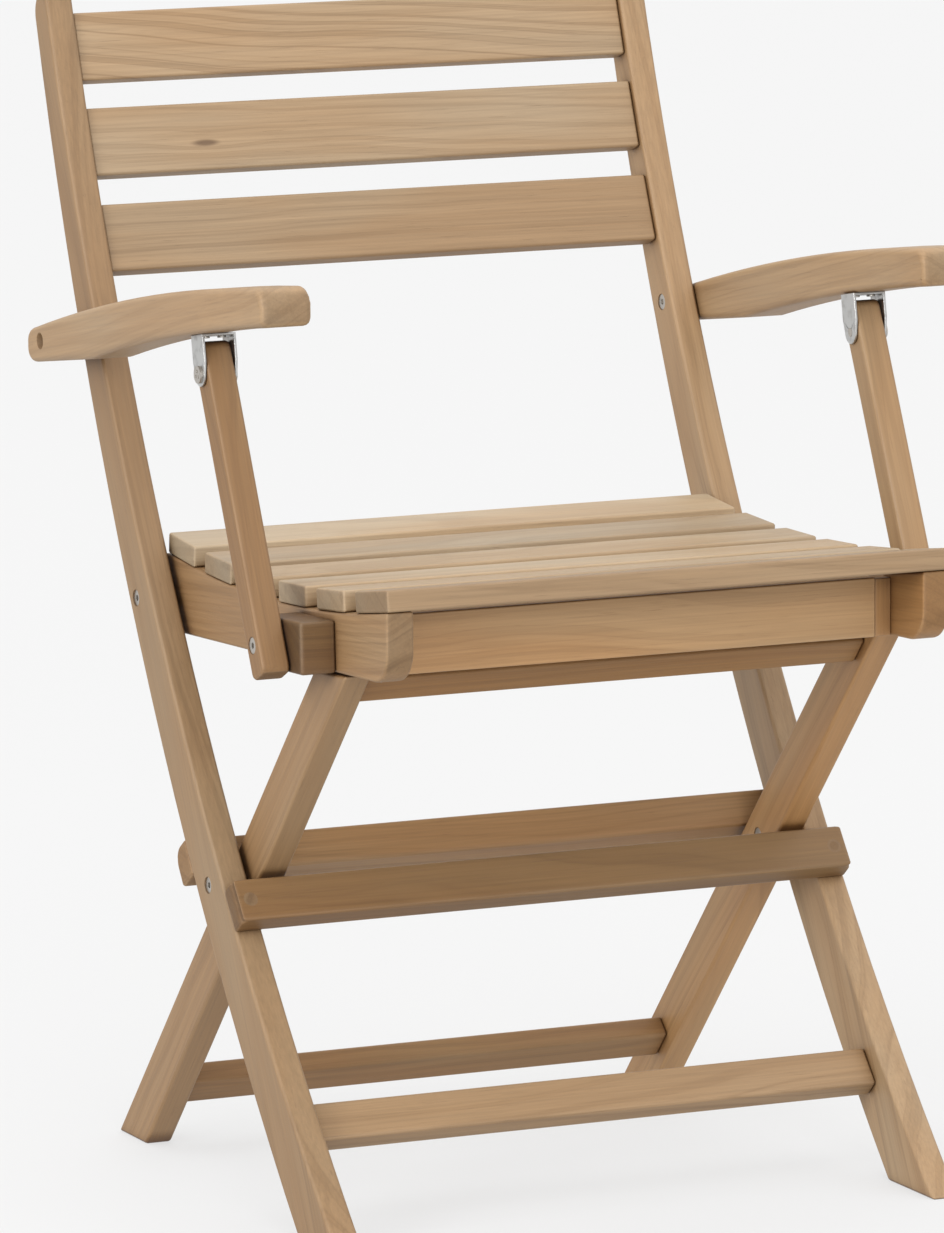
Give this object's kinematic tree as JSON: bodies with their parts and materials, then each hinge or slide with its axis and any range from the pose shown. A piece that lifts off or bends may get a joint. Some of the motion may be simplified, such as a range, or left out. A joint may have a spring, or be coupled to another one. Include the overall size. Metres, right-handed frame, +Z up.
{
  "type": "folding armchair",
  "caption": "Slatted wooden folding armchair: curved back stiles, crossing legs, dished seat, and arms on pivoting posts, shown open.",
  "frame": {"origin": "floor level, under the middle of the open chair's bounding box", "axes": "+X across the chair, the sitter faces -Y, +Z up"},
  "size_m": [0.5452, 0.564, 0.8229],
  "materials": {
    "teak_stile": "bare sanded teak, matt",
    "teak_leg": "bare sanded teak, matt",
    "teak_seat": "bare sanded teak, matt",
    "teak_back": "bare sanded teak, matt",
    "teak_arm": "bare sanded teak, matt",
    "teak_post": "bare sanded teak, matt",
    "teak_rail": "bare sanded teak, matt",
    "teak_plug": "bare sanded teak, matt",
    "steel": "plain bolts and nuts, slightly dulled",
    "bracket_steel": "pressed steel strip, satin"
  },
  "bodies": {
    "back_frame": {"stile_left": "teak_stile", "stile_right": "teak_stile", "back_slat_bottom": "teak_back", "back_slat_middle": "teak_back", "back_slat_top": "teak_back", "front_mid_rail": "teak_rail", "rear_mid_rail": "teak_rail", "front_stretcher": "teak_rail", "front_rail_plugs": "teak_plug", "rear_rail_plugs": "teak_plug", "crossing_bolts": "steel", "crossing_nuts": "steel", "seat_bolts": "steel", "seat_nuts": "steel", "arm_bolts": "steel", "arm_nuts": "steel", "pivot_washers": "steel"},
    "legs": {"leg_left": "teak_leg", "leg_right": "teak_leg", "leg_top_rail": "teak_rail", "rear_stretcher": "teak_rail"},
    "seat": {"seat_rail_left": "teak_rail", "seat_rail_right": "teak_rail", "seat_slat_1": "teak_seat", "seat_slat_2": "teak_seat", "seat_slat_3": "teak_seat", "seat_slat_4": "teak_seat", "seat_slat_5": "teak_seat", "seat_slat_6": "teak_seat", "seat_apron": "teak_rail", "apron_cleats": "teak_rail", "spacer_block_left": "teak_post", "spacer_block_right": "teak_post", "post_bolts": "steel", "post_nuts": "steel"},
    "arm_left": {"arm_left": "teak_arm", "bracket_left": "bracket_steel", "bracket_screws_left": "steel", "bracket_pin_left": "steel"},
    "arm_right": {"arm_right": "teak_arm", "bracket_right": "bracket_steel", "bracket_screws_right": "steel", "bracket_pin_right": "steel"},
    "post_left": {"post_left": "teak_post"},
    "post_right": {"post_right": "teak_post"}
  },
  "joints": [
    {"name": "seat_fold", "type": "hinge", "parent": "back_frame", "child": "seat", "pos_m": [0, 0.1005, 0.4065], "axis": [-1, 0, 0], "range_deg": [0, 100]},
    {"name": "legs_fold", "type": "hinge", "parent": "back_frame", "child": "legs", "pos_m": [0, -0.0255, 0.2225], "axis": [-1, 0, 0], "range_deg": [0, 62.01]},
    {"name": "arm_left_fold", "type": "hinge", "parent": "back_frame", "child": "arm_left", "pos_m": [-0.254, 0.1825, 0.5815], "axis": [-1, 0, 0], "range_deg": [0, 100]},
    {"name": "arm_right_fold", "type": "hinge", "parent": "back_frame", "child": "arm_right", "pos_m": [0.254, 0.1825, 0.5815], "axis": [-1, 0, 0], "range_deg": [0, 100]},
    {"name": "post_left_swing", "type": "hinge", "parent": "seat", "child": "post_left", "pos_m": [-0.2475, -0.1635, 0.413], "axis": [-1, 0, 0], "range_deg": [-100, 0]},
    {"name": "post_right_swing", "type": "hinge", "parent": "seat", "child": "post_right", "pos_m": [0.2475, -0.1635, 0.413], "axis": [-1, 0, 0], "range_deg": [-100, 0]}
  ],
  "couplings": [
    {"joint": "legs_fold", "follows": "seat_fold", "ratio": 0.62},
    {"joint": "arm_left_fold", "follows": "seat_fold", "ratio": 1},
    {"joint": "arm_right_fold", "follows": "seat_fold", "ratio": 1},
    {"joint": "post_left_swing", "follows": "seat_fold", "ratio": -1},
    {"joint": "post_right_swing", "follows": "seat_fold", "ratio": -1}
  ]
}
